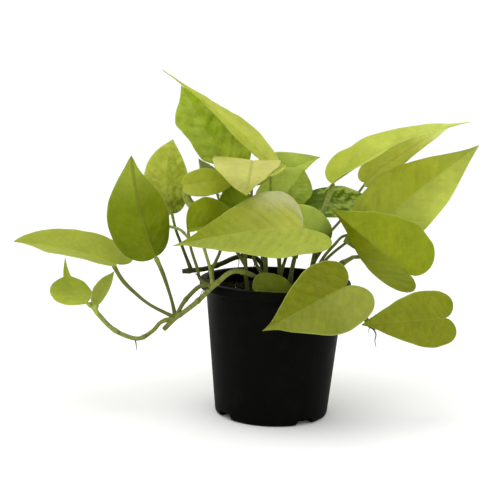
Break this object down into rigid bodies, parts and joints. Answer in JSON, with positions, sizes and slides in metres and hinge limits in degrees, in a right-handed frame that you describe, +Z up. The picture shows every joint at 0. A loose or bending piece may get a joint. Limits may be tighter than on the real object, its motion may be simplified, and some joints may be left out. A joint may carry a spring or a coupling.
{
  "type": "potted pothos plant",
  "caption": "Trailing houseplant with heart-shaped yellow-green leaves on arching stems, rooted in soil in a tapered black plastic nursery pot.",
  "frame": {"origin": "centre of the pot's underside, on the surface that the pot stands on", "axes": "+Z up; +X towards the long leaves on the right, seen from the front; -Y towards the viewer of the front"},
  "size_m": [0.365, 0.205, 0.2693],
  "materials": {
    "pot": "satin",
    "soil": "matte",
    "stem": "satin",
    "old_stem": "satin",
    "leaf_neon": "satin",
    "leaf_bright": "satin",
    "leaf_pale": "satin",
    "leaf_olive": "satin",
    "leaf_green": "satin",
    "leaf_dark": "satin"
  },
  "bodies": {
    "root": {"leaf_left_tall": "leaf_olive", "leaf_left_far": "leaf_neon", "leaf_left_cupped": "leaf_neon", "leaf_left_unrolling": "leaf_neon", "leaf_small_left_lower": "leaf_olive", "leaf_small_left_upper": "leaf_olive", "leaf_top_puckered": "leaf_green", "vine_trailing": "stem", "leaf_left_behind": "leaf_neon", "vine_cut_end": "old_stem", "leaf_inner_shaded": "leaf_dark", "leaf_torn_tip": "leaf_green", "vine_centre_left": "stem", "leaf_top_slender": "leaf_bright", "leaf_pale_young": "leaf_pale", "leaf_rolled_young": "leaf_pale", "vine_centre": "stem", "leaf_front_centre": "leaf_neon", "vine_front_centre": "stem", "leaf_back_pointed": "leaf_green", "leaf_back_round": "leaf_green", "leaf_marbled_green": "leaf_dark", "vine_centre_right": "stem", "leaf_right_upper": "leaf_bright", "leaf_right_upper_behind": "leaf_neon", "leaf_right_long": "leaf_neon", "leaf_right_tucked": "leaf_olive", "leaf_shaded_right": "leaf_green", "vine_right": "stem", "leaf_front_right": "leaf_neon", "leaf_right_low": "leaf_neon", "leaf_in_pot": "leaf_green", "vine_front_right": "stem", "leaf_right_hanging": "leaf_olive", "vine_right_low": "stem", "leaf_rear_left": "leaf_neon", "leaf_rear_right": "leaf_neon", "leaf_rear_low": "leaf_olive", "vine_back": "stem", "pot": "pot", "soil": "soil"}
  },
  "joints": []
}
